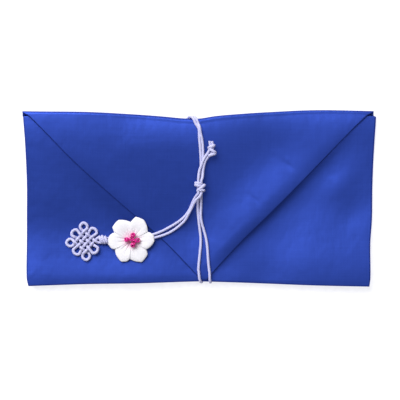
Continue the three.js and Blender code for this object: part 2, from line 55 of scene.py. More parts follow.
def read(table, key, at, column):
    """A smooth reading between the rows of a table."""
    k, c = table[key], table[column]
    at = np.asarray(at, float)
    last = len(k) - 1
    low = np.maximum(np.arange(last + 1) - 1, 0)
    high = np.minimum(np.arange(last + 1) + 1, last)
    slope = (c[high] - c[low]) / (k[high] - k[low])
    i = np.clip(np.searchsorted(k, at, side="left") - 1, 0, last - 1)
    span = k[i + 1] - k[i]
    t = np.clip((at - k[i]) / span, 0, 1)
    bend = t * (1 - t)
    blend = t * t * (3 - 2 * t)
    ends = bend * (1 - t) * slope[i] - bend * t * slope[i + 1]
    return c[i] + (c[i + 1] - c[i]) * blend + ends * span


def mix(a, b, t):
    return a + (b - a) * t


def ease(value, low, high):
    t = np.clip((np.asarray(value, float) - low) / (high - low), 0, 1)
    return t * t * (3 - 2 * t)


def even_columns(count):
    """Shares from 0 to 1, a little closer at both ends."""
    u = np.linspace(0, 1, count + 1)
    return 0.5 * u + 0.25 * (1 - np.cos(np.pi * u))


# Cloth: thickness, gaps, thin edges, the lifted foot and the step up onto the flap
WALL = 1.0
GAP = 0.3
FLAP_GAP = 0.25
EDGE_THICK = 1.9
EDGE_SHARE = 0.5
UNDER_SLOPE = 0.35
FOOT_RISE = 1.1
FOOT_REACH = 30
STEP_FOOT = 7
STEP_TOP = 2

# Mouth of the pocket, below the fold
MOUTH_DROP = 3.4
MOUTH_SLANT = 0.012
CORNER_DROP = 1.1
CORNER_REACH = 16

# Valley in the front beside the flap's right edge
BESIDE_START = 1.0
BESIDE_REACH = 65
NARROW_DROP = 1.3
NARROW_REACH = 3
WIDE_DROP = 1.6
WIDE_REACH = 8.5
WIDE_END = (0.35, 1.0)

# Soft crest of the flap along its right edge
RIGHT_EDGE_LIFT = 0.85
RIGHT_EDGE_REACH = 40
CREST_INSIDE = (8, 13)
DROOP = 1.0
DROOP_FULL = 0.7
LIFT_LEAN = 0.95

# Outlines: the top fold, the bottom fold, the lifted waist and the even height inside; the sides; the flap
SECTIONS = rows("x top bottom rise hollow", (
    (-100, 48.7, -50.0, 0.0, 3.6),
    (-86, 48.6, -49.4, 0.0, 4.1),
    (-62, 48.3, -48.6, 0.0, 4.3),
    (-36, 47.0, -48.2, 0.1, 3.8),
    (-21, 45.9, -47.8, 0.4, 3.0),
    (-9, 44.8, -47.4, 1.0, 2.0),
    (0, 44.7, -47.2, 1.2, 1.7),
    (9, 46.1, -47.4, 1.0, 1.9),
    (22, 47.3, -47.8, 0.4, 2.7),
    (38, 48.4, -48.4, 0.1, 3.3),
    (66, 49.6, -49.4, 0.0, 3.9),
    (100, 49.0, -50.1, 0.0, 4.5),
))
SIDE_ROWS = rows("y left right", (
    (-50, -96.4, 95.5),
    (-45, -97.4, 96.1),
    (-26, -97.5, 96.2),
    (-12, -97.5, 97.3),
    (8, -97.3, 97.8),
    (30, -98.1, 98.8),
    (46, -99.3, 99.8),
))
FLAP_ROWS = rows("y left right", (
    (-46.6, 1.2, 3.8),
    (-43.3, -1.7, 6.3),
    (-23.7, -20.7, 24.5),
    (-9.8, -36.6, 38.9),
    (2.4, -50.8, 51.6),
    (19.2, -69.9, 68.7),
    (32.8, -83.8, 82.4),
    (48.6, -99.7, 98.5),
))
FLAP_TIP = -46.6
FOLD_CORNER = 48.6

# Soft folds, dents and short creases of the front: middle, direction, reach along and across, and height
FOLDS = rows("x y turn length width height", (
    (34, 20, 41, 25, 15, -0.35),
    (70, -14, 62, 22, 11, 0.3),
    (80, 9, 45, 15, 7, 0.65),
    (87, -8, 48, 13, 7, -0.5),
    (34, -45, 40, 18, 11, -0.6),
    (38, -52, 0, 20, 14, -0.4),
    (24, -22, 47, 19, 14, 0.7),
    (82, 8, 0, 14, 13, 0.6),
    (26, 42, 0, 24, 15, 0.8),
    (-40, -47, 0, 26, 14, 0.9),
    (30.5, -0.5, -43, 4, 1.4, -0.22),
    (49.5, 18.5, -42, 4, 1.4, -0.22),
    (74, 13.5, -42, 4, 1.4, -0.22),
    (-49, -10, -43, 42, 10, -0.8),
    (-40, -5, -43, 22, 7, 0.6),
    (-102, -2, 90, 42, 10, -0.9),
    (101, 12, 90, 45, 7, -0.6),
))

# How far the front lies above its even height, from the bottom to the fold, in three stretches
SWELLS = rows("y left waist right", (
    (-50, -1.2, -0.7, -0.1),
    (-44, -1.2, -0.65, 0.15),
    (-40, -1.35, -0.9, 0.3),
    (-34, -1.6, -1.2, 0.4),
    (-28, -1.7, -1.4, 0.3),
    (-22, -1.8, -1.55, 0.08),
    (-18, -1.8, -1.55, -0.1),
    (-14, -1.65, -1.4, -0.3),
    (-7, -1.15, -0.95, -0.7),
    (0, -0.5, -0.45, -1.1),
    (14, 0.65, 0.6, -1.95),
    (22, 1.2, 1.2, -2.2),
    (29, 1.5, 1.6, -2.2),
    (34, 1.65, 1.5, -2.15),
    (39, 1.65, 1.05, -2.2),
    (44, 1.5, 0.15, -2.6),
    (50, 1.1, -1.3, -3.7),
))
LEFT_SWELL, WAIST_LEFT, WAIST_RIGHT, RIGHT_SWELL = -64, -30, -5, 42


# Outline and heights of the envelope

def top_edge(x):
    return read(SECTIONS, "x", x, "top")


def bottom_edge(x):
    return read(SECTIONS, "x", x, "bottom")


def mouth_edge(x):
    """The mouth lies below the fold, and drops away at its corners."""
    corner = CORNER_DROP * np.clip((np.abs(x) - SIDE_ROWS["right"][-1]) / CORNER_REACH + 1, 0, 1) ** 2
    return top_edge(x) - MOUTH_DROP + MOUTH_SLANT * np.abs(x) - corner


def left_edge(y):
    return read(SIDE_ROWS, "y", y, "left")


def right_edge(y):
    return read(SIDE_ROWS, "y", y, "right")


def flap_left(y):
    return read(FLAP_ROWS, "y", y, "left")


def flap_right(y):
    return read(FLAP_ROWS, "y", y, "right")


def edge_distance(x, y):
    """How far a place lies inside the sides and the folded bottom."""
    side = np.minimum(x - left_edge(y), right_edge(y) - x)
    return np.maximum(0, np.minimum(side, y - bottom_edge(x)))


def waist_rise(x):
    return np.maximum(0, read(SECTIONS, "x", x, "rise"))


def fold_height(x, y):
    """The sum of the soft folds and dents, each one a long hill or hollow."""
    total = np.zeros(np.broadcast(x, y).shape)
    for i, turn in enumerate(np.radians(FOLDS["turn"])):
        dx, dy = x - FOLDS["x"][i], y - FOLDS["y"][i]
        along = (dx * math.cos(turn) + dy * math.sin(turn)) / FOLDS["length"][i]
        across = (dy * math.cos(turn) - dx * math.sin(turn)) / FOLDS["width"][i]
        total = total + FOLDS["height"][i] * np.exp(-along**2 - across**2)
    return total


def swelling(x, y):
    """The table of swells, blended from the left over the waist to the right."""
    left, waist, right = (read(SWELLS, "y", y, column) for column in ("left", "waist", "right"))
    left_half = mix(left, waist, ease(x, LEFT_SWELL, WAIST_LEFT))
    return mix(left_half, right, ease(x, WAIST_RIGHT, RIGHT_SWELL))


def flap_share(x, y):
    """From 0 at the flap's tip to 1 at the fold."""
    return np.clip((y - FLAP_TIP) / (mouth_edge(x) - FLAP_TIP), 0, 1)


def along_flap(share):
    """From 0 at the flap's tip to 1 along its sides and back to 0 at the fold."""
    return np.sin(np.pi * share**LIFT_LEAN)


def even_height(x, y):
    """The front without the valley beside the flap."""
    hollow = read(SECTIONS, "x", x, "hollow") + swelling(x, y) + fold_height(x, y)
    foot = FOOT_RISE * ease(bottom_edge(x) - y, -FOOT_REACH, 0)
    return 2 * WALL + hollow + foot


def beside_drop(x, y):
    """A valley in the front along the flap's right edge, steep at the edge and fading away from it."""
    share = flap_share(x, y)
    outside = np.maximum(0, x - flap_right(y) + BESIDE_START)
    narrow = NARROW_DROP * (1 - np.exp(-outside / NARROW_REACH))
    wide = WIDE_DROP * (1 - np.exp(-outside / WIDE_REACH)) * (1 - ease(share, *WIDE_END))
    return (narrow + wide) * along_flap(share) * np.exp(-((outside / BESIDE_REACH) ** 2))


def front_height(x, y):
    return waist_rise(x) + np.maximum(EDGE_THICK, even_height(x, y) - beside_drop(x, y))


def back_height(x, y):
    """The back rests on the floor and lifts towards the thin edges."""
    front = front_height(x, y)
    lifted = front - np.maximum(EDGE_THICK, EDGE_SHARE * front) - UNDER_SLOPE * edge_distance(x, y)
    return np.maximum(waist_rise(x), lifted)


def flap_lift(x, y):
    """The flap rises to a soft crest beside its right edge and droops to the edge itself."""
    share = flap_share(x, y)
    along = along_flap(share)
    inside = flap_right(y) - x
    crest = mix(*CREST_INSIDE, share)
    rise = RIGHT_EDGE_LIFT * along * ease(-inside, -RIGHT_EDGE_REACH, -crest)
    droop = DROOP * ease(along, 0, DROOP_FULL) * np.clip(1 - inside / crest, 0, 1) ** 2
    return rise - droop


def flap_height(x, y):
    front = waist_rise(x) + np.maximum(EDGE_THICK, even_height(x, y))
    return front + FLAP_GAP + WALL + flap_lift(x, y)


def cover_height(x, y):
    """The highest cloth at a place, with an easy step up onto the flap."""
    inside = np.minimum(np.minimum(x - flap_left(y), flap_right(y) - x), y - FLAP_TIP)
    return mix(front_height(x, y), flap_height(x, y), ease(inside, -STEP_FOOT, -STEP_TOP))


# Meshes
WELD_REACH = 1e-6
CURVE_STEPS = 16
RING_FINENESS = 4
# A direction that no cord starts along
FIRST_SIDE = (0.31, 0.17, 0.93)


def weld(mesh):
    """Join points that lie on one another, so that folded edges are closed."""
    work = bmesh.new()
    work.from_mesh(mesh)
    bmesh.ops.remove_doubles(work, verts=work.verts, dist=WELD_REACH)
    work.to_mesh(mesh)
    work.free()


def make_piece(name, points, faces, material, uvs=None):
    """A smooth-shaded object from points in millimetres; a piece with thread coordinates isn't welded."""
    mesh = bpy.data.meshes.new(name)
    mesh.from_pydata((np.asarray(points) * MM).tolist(), [], faces)
    if uvs is None:
        weld(mesh)
    else:
        layer = mesh.uv_layers.new(name="thread")
        layer.data.foreach_set("uv", np.asarray(uvs, np.float32).ravel())
    mesh.polygons.foreach_set("use_smooth", [True] * len(mesh.polygons))
    mesh.materials.append(material)
    mesh.validate()
    piece = bpy.data.objects.new(name, mesh)
    bpy.context.scene.collection.objects.link(piece)
    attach(piece, "root")
    return piece


def grid_faces(columns, count, closed=False):
    """Quads of a grid with count rows of columns points; closed joins the last column to the first."""
    faces = []
    for j in range(count - 1):
        for i in range(columns if closed else columns - 1):
            k = (i + 1) % columns
            faces.append((j * columns + i, j * columns + k, (j + 1) * columns + k, (j + 1) * columns + i))
    return faces


def lengths_along(line):
    """The length from the start of a line to each of its points."""
    return np.concatenate([[0], np.cumsum(np.linalg.norm(np.diff(line, axis=0), axis=1))])


def points_along(line, at):
    """Points of a line at the given lengths from its start."""
    length = lengths_along(line)
    return np.stack([np.interp(at, length, line[:, k]) for k in range(3)], 1)


def smooth_line(points, step):
    """A centripetal curve through the points, in even steps of about the given length."""
    p = np.asarray(points, float)
    p = np.vstack([2 * p[0] - p[1], p, 2 * p[-1] - p[-2]])
    dense = []
    for a, b, c, d in zip(p, p[1:], p[2:], p[3:]):
        t0 = 0.0
        t1 = t0 + np.linalg.norm(b - a) ** 0.5
        t2 = t1 + np.linalg.norm(c - b) ** 0.5
        t3 = t2 + np.linalg.norm(d - c) ** 0.5
        t = np.linspace(t1, t2, CURVE_STEPS, endpoint=False)[:, None]
        ab = a + (b - a) * (t - t0) / (t1 - t0)
        bc = b + (c - b) * (t - t1) / (t2 - t1)
        cd = c + (d - c) * (t - t2) / (t3 - t2)
        abc = ab + (bc - ab) * (t - t0) / (t2 - t0)
        bcd = bc + (cd - bc) * (t - t1) / (t3 - t1)
        dense.append(abc + (bcd - abc) * (t - t1) / (t2 - t1))
    dense = np.vstack([*dense, p[-2:-1]])
    whole = lengths_along(dense)[-1]
    return points_along(dense, np.linspace(0, whole, max(3, int(round(whole / step)) + 1)))


def smooth_ring(points, step):
    """The same for a closed line, without repeating its first point."""
    p = np.asarray(points, float)
    # The line runs a little past its own start, and is then cut where it comes back to its first point
    around = smooth_line(np.vstack([p[-3:], p, p[:3]]), step / RING_FINENESS)
    start = np.argmin(np.linalg.norm(around[: len(around) // 2] - p[0], axis=1))
    rest = np.linalg.norm(around - p[0], axis=1)
    rest[: start + len(around) // 3] = np.inf
    line = around[start : int(np.argmin(rest)) + 1]
    whole = lengths_along(line)[-1]
    return points_along(line, np.linspace(0, whole, int(round(whole / step)), endpoint=False))


# Braid of the cord: turns along it for each thickness, strands round it and how far they stand out
BRAID_PITCH = 4.6
BRAID_STRANDS = 2
BRAID_RELIEF = 0.1
CORD_SIDES = 16
CORD_STEP = 0.18


def tube(line, radius, closed=False):
    """Points, faces and thread coordinates of a braided cord along a line."""
    count, sides = len(line), CORD_SIDES
    ahead = np.roll(line, -1, 0) - np.roll(line, 1, 0)
    if not closed:
        ahead[0] = line[1] - line[0]
        ahead[-1] = line[-1] - line[-2]
    ahead /= np.linalg.norm(ahead, axis=1)[:, None]
    side = np.cross(ahead[0], FIRST_SIDE)
    aside = []
    for tangent in ahead:
        side = side - tangent * np.dot(side, tangent)
        side = side / np.linalg.norm(side)
        aside.append(side)
    aside = np.array(aside)[:, None]
    above = np.cross(ahead[:, None], aside)
    run = lengths_along(line) / (2 * radius)
    angles = 2 * np.pi * np.arange(sides) / sides
    along, around = BRAID_PITCH * run[:, None], BRAID_STRANDS * angles
    pads = (np.sin(along + around) * np.sin(along - around)) ** 2
    reach = radius * (1 + BRAID_RELIEF * (2 * pads - 1))[..., None]
    outward = np.cos(angles)[:, None] * aside + np.sin(angles)[:, None] * above
    points = list((line[:, None] + reach * outward).reshape(-1, 3))
    faces, uvs = [], []
    spans = count if closed else count - 1
    for j in range(spans):
        k = (j + 1) % count
        far = run[j + 1] if j + 1 < count else run[-1] + run[1]
        for i in range(sides):
            n = (i + 1) % sides
            faces.append((j * sides + i, j * sides + n, k * sides + n, k * sides + i))
            low, high = i / sides, (i + 1) / sides
            uvs += [(run[j], low), (run[j], high), (far, high), (far, low)]
    if not closed:
        # Flat cut ends
        for ring, centre, flip in ((0, line[0], True), (count - 1, line[-1], False)):
            points.append(centre)
            tip = len(points) - 1
            for i in range(sides):
                a, b = ring * sides + i, ring * sides + (i + 1) % sides
                faces.append((tip, b, a) if flip else (tip, a, b))
                uvs += [(run[0], 0.5), (run[0], 0.5), (run[0], 0.5)]
    return points, faces, uvs


def joined(tubes):
    points, faces, uvs = [], [], []
    for more_points, more_faces, more_uvs in tubes:
        start = len(points)
        points += list(more_points)
        faces += [tuple(start + i for i in face) for face in more_faces]
        uvs += more_uvs
    return points, faces, uvs


# Materials
# Middle of the flower in millimetres, and how far the painted pink glow of the beads reaches on the petals
# in metres
FLOWER_X, FLOWER_Y = -38.3, -24.0
BEAD_GLOW_REACH = 0.006
# Sockets of the node that mixes two colours
MIX_SHARE, MIX_FIRST, MIX_SECOND, MIX_RESULT = 0, 6, 7, 2


def new_material(name):
    material = bpy.data.materials.new(name)
    material.use_nodes = True
    nodes = material.node_tree.nodes
    nodes.clear()
    output = nodes.new("ShaderNodeOutputMaterial")
    shader = nodes.new("ShaderNodeBsdfPrincipled")
    material.node_tree.links.new(shader.outputs["BSDF"], output.inputs["Surface"])
    return material, shader


def add_node(material, kind, values=(), **settings):
    node = material.node_tree.nodes.new(kind)
    for key, value in settings.items():
        setattr(node, key, value)
    for socket, value in dict(values).items():
        node.inputs[socket].default_value = value
    return node


def link(material, source, target):
    material.node_tree.links.new(source, target)


def streaks(material, scale, detail):
    """Noise drawn out along one direction of the cloth."""
    where = add_node(material, "ShaderNodeTexCoord")
    stretch = add_node(material, "ShaderNodeMapping", {"Scale": scale})
    noise = add_node(material, "ShaderNodeTexNoise", {"Scale": 1.0, "Detail": detail, "Roughness": 0.6})
    link(material, where.outputs["Object"], stretch.inputs["Vector"])
    link(material, stretch.outputs["Vector"], noise.inputs["Vector"])
    return noise.outputs["Fac"]


def maths(material, operation, a, b):
    node = add_node(material, "ShaderNodeMath", operation=operation)
    for socket, value in ((0, a), (1, b)):
        if isinstance(value, (int, float)):
            node.inputs[socket].default_value = value
        else:
            link(material, value, node.inputs[socket])
    return node.outputs[0]


def weighted(material, a, share_a, b, share_b):
    """Two values added by their shares."""
    first = maths(material, "MULTIPLY", a, share_a)
    second = maths(material, "MULTIPLY", b, share_b)
    return maths(material, "ADD", first, second)


def ramp(material, factor, stops):
    node = add_node(material, "ShaderNodeValToRGB")
    elements = node.color_ramp.elements
    while len(elements) < len(stops):
        elements.new(0.5)
    for element, (position, colour) in zip(elements, stops, strict=True):
        element.position = position
        element.color = (*colour, 1.0)
    link(material, factor, node.inputs["Fac"])
    return node.outputs["Color"]


def bump(material, height, strength, distance):
    node = add_node(material, "ShaderNodeBump", {"Strength": strength, "Distance": distance})
    link(material, height, node.inputs["Height"])
    return node.outputs["Normal"]


def satin_material():
    material, shader = new_material("royal_satin")
    along = streaks(material, scale=(60, 2600, 60), detail=3.0)
    across = streaks(material, scale=(2200, 50, 60), detail=2.0)
    cloud = streaks(material, scale=(28, 28, 28), detail=2.0)
    thread = weighted(material, along, 0.6, across, 0.4)
    tone = weighted(material, thread, 0.65, cloud, 0.35)
    colour = ramp(material, tone, ((0.3, (0.0165, 0.0455, 0.285)), (0.7, (0.024, 0.0595, 0.355))))
    link(material, colour, shader.inputs["Base Color"])
    dents = streaks(material, scale=(110, 75, 90), detail=2.0)
    relief = maths(material, "ADD", maths(material, "MULTIPLY", thread, 0.1), dents)
    normal = bump(material, relief, strength=0.16, distance=0.0015)
    link(material, normal, shader.inputs["Normal"])
    shader.inputs["Roughness"].default_value = 0.45
    shader.inputs["Metallic"].default_value = 0.75
    shader.inputs["Specular IOR Level"].default_value = 0.5
    shader.inputs["Specular Tint"].default_value = (0.55, 0.45, 1.0, 1.0)
    shader.inputs["Sheen Weight"].default_value = 0.05
    shader.inputs["Sheen Roughness"].default_value = 0.4
    shader.inputs["Sheen Tint"].default_value = (0.2, 0.3, 1.0, 1.0)
    return material


def cord_material():
    material, shader = new_material("lavender_braid")
    where = add_node(material, "ShaderNodeUVMap", uv_map="thread")
    split = add_node(material, "ShaderNodeSeparateXYZ")
    link(material, where.outputs["UV"], split.inputs["Vector"])
    run = maths(material, "MULTIPLY", split.outputs["X"], BRAID_PITCH)
    turn = maths(material, "MULTIPLY", split.outputs["Y"], 2 * math.pi * BRAID_STRANDS)
    left = maths(material, "SINE", maths(material, "ADD", run, turn), 0.0)
    right = maths(material, "SINE", maths(material, "SUBTRACT", run, turn), 0.0)
    crossing = maths(material, "MULTIPLY", left, right)
    height = maths(material, "MULTIPLY", crossing, crossing)
    # The colour is darker in the grooves between the braid's raised strands and lighter on top of them:
    # painted shade.
    colour = ramp(material, height, ((0.0, (0.39, 0.39, 0.63)), (0.7, (0.62, 0.62, 0.88))))
    link(material, colour, shader.inputs["Base Color"])
    normal = bump(material, height, strength=0.25, distance=0.00025)
    link(material, normal, shader.inputs["Normal"])
    shader.inputs["Roughness"].default_value = 0.6
    shader.inputs["Sheen Weight"].default_value = 0.3
    return material


def petal_material():
    material, shader = new_material("white_ribbon")
    grain = streaks(material, scale=(900, 900, 900), detail=2.0)
    colour = ramp(material, grain, ((0.3, (0.70, 0.69, 0.74)), (0.7, (0.77, 0.76, 0.81))))
    where = add_node(material, "ShaderNodeTexCoord")
    middle = (FLOWER_X * MM, FLOWER_Y * MM, 0.0)
    away = add_node(material, "ShaderNodeVectorMath", {1: middle}, operation="SUBTRACT")
    flat = add_node(material, "ShaderNodeVectorMath", {1: (1.0, 1.0, 0.0)}, operation="MULTIPLY")
    length = add_node(material, "ShaderNodeVectorMath", operation="LENGTH")
    link(material, where.outputs["Object"], away.inputs[0])
    link(material, away.outputs["Vector"], flat.inputs[0])
    link(material, flat.outputs["Vector"], length.inputs[0])
    share = maths(material, "MULTIPLY", length.outputs["Value"], 1 / BEAD_GLOW_REACH)
    # A pink tint that fades away from the flower's middle is painted light: the glow of the magenta glass
    # beads painted onto the white petals.
    bead_glow = ramp(material, share, ((0.3, (0.55, 0.55, 0.55)), (1.0, (0.0, 0.0, 0.0))))
    tinted = add_node(material, "ShaderNodeMix", {MIX_SECOND: (0.75, 0.22, 0.46, 1.0)}, data_type="RGBA")
    link(material, bead_glow, tinted.inputs[MIX_SHARE])
    link(material, colour, tinted.inputs[MIX_FIRST])
    link(material, tinted.outputs[MIX_RESULT], shader.inputs["Base Color"])
    normal = bump(material, grain, strength=0.1, distance=0.0001)
    link(material, normal, shader.inputs["Normal"])
    shader.inputs["Roughness"].default_value = 0.5
    shader.inputs["Sheen Weight"].default_value = 0.2
    shader.inputs["Subsurface Weight"].default_value = 0.25
    shader.inputs["Subsurface Radius"].default_value = (0.0012, 0.0012, 0.0012)
    return material


def bead_material():
    material, shader = new_material("magenta_glass")
    cloud = streaks(material, scale=(700, 700, 700), detail=1.0)
    colour = ramp(material, cloud, ((0.3, (0.70, 0.014, 0.24)), (0.7, (0.90, 0.05, 0.42))))
    link(material, colour, shader.inputs["Base Color"])
    shader.inputs["Roughness"].default_value = 0.1
    shader.inputs["Transmission Weight"].default_value = 0.35
    shader.inputs["IOR"].default_value = 1.52
    return material


SATIN = satin_material()
BRAID = cord_material()
RIBBON = petal_material()
GLASS = bead_material()


# Pocket: rings of points from the folded bottom up to the mouth, over its lip and back down inside
POCKET_COLUMNS = 180
POCKET_ROWS = 64
INNER_ROWS = 30
RIM = 0.5
LIP_LEVEL = 0.997
LIP_OUT = 0.25
LEVEL_LEAN = 1.7
SETTLE_ROUNDS = 4
INNER_INSET = 1.8
POCKET_CLOTH = 0.8


def pocket_levels(count):
    """Levels from the folded bottom to the mouth, with one close below the lip."""
    return np.append(np.linspace(0, 1, count, endpoint=False) ** LEVEL_LEAN, (LIP_LEVEL, 1))


def pocket_ring(share, v, inset, wall):
    """One closed ring round the pocket at the level v, inset from its edges and thinner by the wall."""
    x = mix(left_edge(0.0) + inset, right_edge(0.0) - inset, share)
    for _ in range(SETTLE_ROUNDS):
        y = mix(bottom_edge(x) + inset, mouth_edge(x), v)
        x = mix(left_edge(y) + inset, right_edge(y) - inset, share)
    edge = edge_distance(x, y) - inset
    full = np.sqrt(1 - (1 - np.clip(edge / RIM, 0, 1)) ** 2) * (v > 0)
    low, high = back_height(x, y) + wall, front_height(x, y) - wall
    middle = mix(low, high, 0.5)
    front = np.stack([x, y, mix(middle, high, full)], 1)
    back = np.stack([x, y, mix(middle, low, full)], 1)
    return np.vstack([front, back[-2:0:-1]])


def make_pocket():
    share = even_columns(POCKET_COLUMNS)
    outer = [pocket_ring(share, v, 0.0, 0.0) for v in pocket_levels(POCKET_ROWS)]
    downwards = pocket_levels(INNER_ROWS)[::-1]
    inner = [pocket_ring(share, v, INNER_INSET, POCKET_CLOTH) for v in downwards]
    lip = mix(outer[-1], inner[0], 0.5) + (0, LIP_OUT, 0)
    rings = [*outer, lip, *inner]
    faces = grid_faces(len(rings[0]), len(rings), closed=True)
    piece = make_piece("pocket_cloth", np.vstack(rings), faces, SATIN)
    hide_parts("pocket_front", "pocket_back")
    return piece


# Flap: one sheet from its tip over the front, round the fold and down to the pocket's back
FLAP_COLUMNS = 190
FLAP_FRONT_ROWS = 140
FLAP_ROLL_ROWS = 24
FLAP_CLOTH = 0.8
FLAP_EDGE = 0.5
FLAP_EDGE_SLANT = 0.7
FOLD_SQUARE = 0.6
ROLL_MIDDLE = 1.5
SLOPE_STEP = 1e-4


def flap_roll(x):
    """The roll over the fold: where it starts, how deep it is, its middle height and half its height."""
    start = mouth_edge(x) + GAP
    low = back_height(x, start) + WALL / 2
    high = flap_height(x, start) - WALL / 2
    return start, top_edge(x) - WALL / 2 - start, (low + high) / 2, (high - low) / 2


def flap_middle(share, v):
    """The middle surface: share from left to right, v from 0 at the tip to 1 at the fold, 2 behind it."""
    level = mix(FLAP_TIP, FOLD_CORNER - MOUTH_DROP, v)
    x = mix(flap_left(level), flap_right(level), share)
    y = level + (mouth_edge(x) + GAP - FOLD_CORNER + MOUTH_DROP) * v * v
    front = np.stack([x, y, flap_height(x, y) - WALL / 2], -1)
    angle = np.pi * np.clip(v - 1, 0, 1)
    out = np.abs(np.sin(angle)) ** FOLD_SQUARE
    level = FOLD_CORNER - MOUTH_DROP * np.where(v < ROLL_MIDDLE, 1 - out, 0)
    x = mix(flap_left(level), flap_right(level), share)
    start, depth, middle, half = flap_roll(x)
    up = np.sign(np.cos(angle)) * np.abs(np.cos(angle)) ** FOLD_SQUARE
    roll = np.stack([x, start + depth * out, middle + half * up], -1)
    return np.where((v <= 1)[..., None], front, roll)


def make_flap():
    front = np.linspace(0, 1, FLAP_FRONT_ROWS, endpoint=False)
    roll = np.linspace(1, 2, FLAP_ROLL_ROWS + 1)
    share, v = np.meshgrid(even_columns(FLAP_COLUMNS), np.concatenate([front, roll]))
    here = flap_middle(share, v)
    across = flap_middle(share + SLOPE_STEP, v) - flap_middle(share - SLOPE_STEP, v)
    along = flap_middle(share, v + SLOPE_STEP) - flap_middle(share, v - SLOPE_STEP)
    normal = np.cross(across, along)
    normal /= np.linalg.norm(normal, axis=-1)[..., None]
    width = np.linalg.norm(here[:, -1] - here[:, 0], axis=-1)[:, None]
    edge = np.minimum(share, 1 - share) * width * FLAP_EDGE_SLANT
    full = np.sqrt(1 - (1 - np.clip(edge / FLAP_EDGE, 0, 1)) ** 2)
    full[0] = 0
    offset = normal * (full * FLAP_CLOTH / 2)[..., None]
    upper, lower = here + offset, here - offset
    columns, count = share.shape[1], share.shape[0]
    ring = np.concatenate([upper, lower[:, -2:0:-1]], 1)
    faces = grid_faces(ring.shape[1], count, closed=True)
    # The last row, behind the fold, is closed between its upper and its lower face
    end = (count - 1) * ring.shape[1]
    for i in range(columns - 1):
        under = [end + (k if k in (0, columns - 1) else ring.shape[1] - k) for k in (i, i + 1)]
        faces.append(tuple(dict.fromkeys((end + i, end + i + 1, under[1], under[0]))))
    piece = make_piece("flap_cloth", ring.reshape(-1, 3), faces, SATIN)
    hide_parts("flap")
    return piece


pocket = make_pocket()
flap = make_flap()


# Cords: thickness, gap to the cloth, and the bends round the bottom and the top edge
CORD = 1.5
REST = 0.15
EDGE_STEPS = 8
TOP_SQUARE = 0.75
FOOT_SQUARE = 0.5
FOOT_SPAN = 5
FOOT_SINK = 0.6
BACK_STEPS = 4

# Where the strands enter the centre knot and the connector knot
LOW_LIFT = 0.9
HIGH_LIFT = 2.6
KNOT_CORD = 1.75
KNOT_X, KNOT_Y, KNOT_HALF = 0.2, 6.0, 3.2
KNOT_TOP = KNOT_Y + KNOT_HALF
KNOT_FOOT = KNOT_Y - KNOT_HALF
BUNDLE_HALF = 0.85
KNOT_LEFT = KNOT_X - BUNDLE_HALF
KNOT_RIGHT = KNOT_X + BUNDLE_HALF
CONNECTOR_X, CONNECTOR_Y, CONNECTOR_HALF = -53.8, -23.6, 2.1
CONNECTOR_SIDE = CONNECTOR_X + CONNECTOR_HALF
CONNECTOR_INSIDE = CONNECTOR_X + 1

# Cord routes, close to those of the solids: places on the cloth and how far the cord is lifted off it
STRANDS = {
    "cord_left": {
        "end": (
            (5.6, 31.7, 1.6), (6.0, 28.5, 1.5), (5.0, 25.6, 1.4), (3.6, 23.6, 1.4), (2.3, 21.4, 1.6),
            (1.1, 18.4, 1.9), (-0.2, 14.4, 2.1), (KNOT_LEFT, KNOT_TOP, HIGH_LIFT),
        ),
        "down": (
            (KNOT_LEFT, KNOT_FOOT, LOW_LIFT), (-1.0, -5.8, 0), (-0.4, -13.2, 0), (0.7, -24.0, 0),
            (-0.1, -34.0, 0), (-0.6, -40.5, 0),
        ),
        "foot": (-0.4, 2.6),
        "top": (-2.3, -8.4),
        "up": (
            (-0.45, 38.6, 0), (-0.1, 33.5, 0), (0.3, 29.0, 0), (0.6, 24.8, 0), (0.8, 20.0, 0),
            (0.7, 15.5, 0), (KNOT_LEFT, KNOT_TOP, LOW_LIFT),
        ),
        "flower": (
            (KNOT_LEFT, KNOT_FOOT, HIGH_LIFT), (-1.9, 0.9, 1.8), (-3.3, -1.4, 0.8), (-4.9, -5.2, 0),
            (-6.6, -8.3, 0), (-9.7, -11.8, 0), (-17.3, -16.8, 0), (-25.4, -20.4, 0), (-38.3, -22.4, 0),
            (-48.0, -22.7, 0), (CONNECTOR_SIDE, -22.7, 0.6), (CONNECTOR_INSIDE, -23.0, 0.8),
        ),
        "nodes": ("wrap_cord_left", "end_cord_left", "flower_cord_upper"),
    },
    "cord_right": {
        "end": (
            (6.9, 31.6, 1.6), (7.5, 28.3, 1.5), (6.6, 24.6, 1.3), (4.7, 22.6, 1.0), (3.3, 20.4, 1.0),
            (2.4, 17.6, 1.35), (1.95, 14.6, 1.6), (1.7, 11.6, 2.2), (KNOT_RIGHT, KNOT_TOP, HIGH_LIFT),
        ),
        "down": (
            (KNOT_RIGHT, KNOT_FOOT, LOW_LIFT), (0.8, -5.8, 0.1), (0.7, -10.0, 0.5), (1.3, -14.2, 0.3),
            (2.4, -18.0, 0), (3.7, -23.0, 0), (4.4, -28.0, 0), (4.8, -34.0, 0), (5.4, -40.5, 0),
        ),
        "foot": (5.6, 6.8),
        "top": (-0.8, -6.2),
        "up": (
            (0.0, 39.4, 1.1), (0.6, 36.2, 0.8), (1.5, 32.0, 0.2), (1.9, 27.4, 0), (2.0, 22.6, 0),
            (1.7, 18.6, 0), (1.5, 14.8, 0), (KNOT_RIGHT, KNOT_TOP, LOW_LIFT),
        ),
        "flower": (
            (KNOT_RIGHT, KNOT_FOOT, HIGH_LIFT), (0.1, 0.7, 3.4), (-2.2, -1.6, 2.9), (-4.3, -5.5, 1.9),
            (-6.0, -8.9, 1.8), (-8.6, -13.2, 0.8), (-16.4, -19.3, 0), (-25.0, -22.4, 0), (-38.3, -24.5, 0),
            (-48.0, -24.5, 0), (CONNECTOR_SIDE, -24.5, 0.6), (CONNECTOR_INSIDE, -24.2, 0.8),
        ),
        "nodes": ("wrap_cord_right", "end_cord_right", "flower_cord_lower"),
    },
}


def laid(route):
    """The points of a route, on the cloth."""
    return [(x, y, float(cover_height(x, y)) + REST + CORD / 2 + lift) for x, y, lift in route]


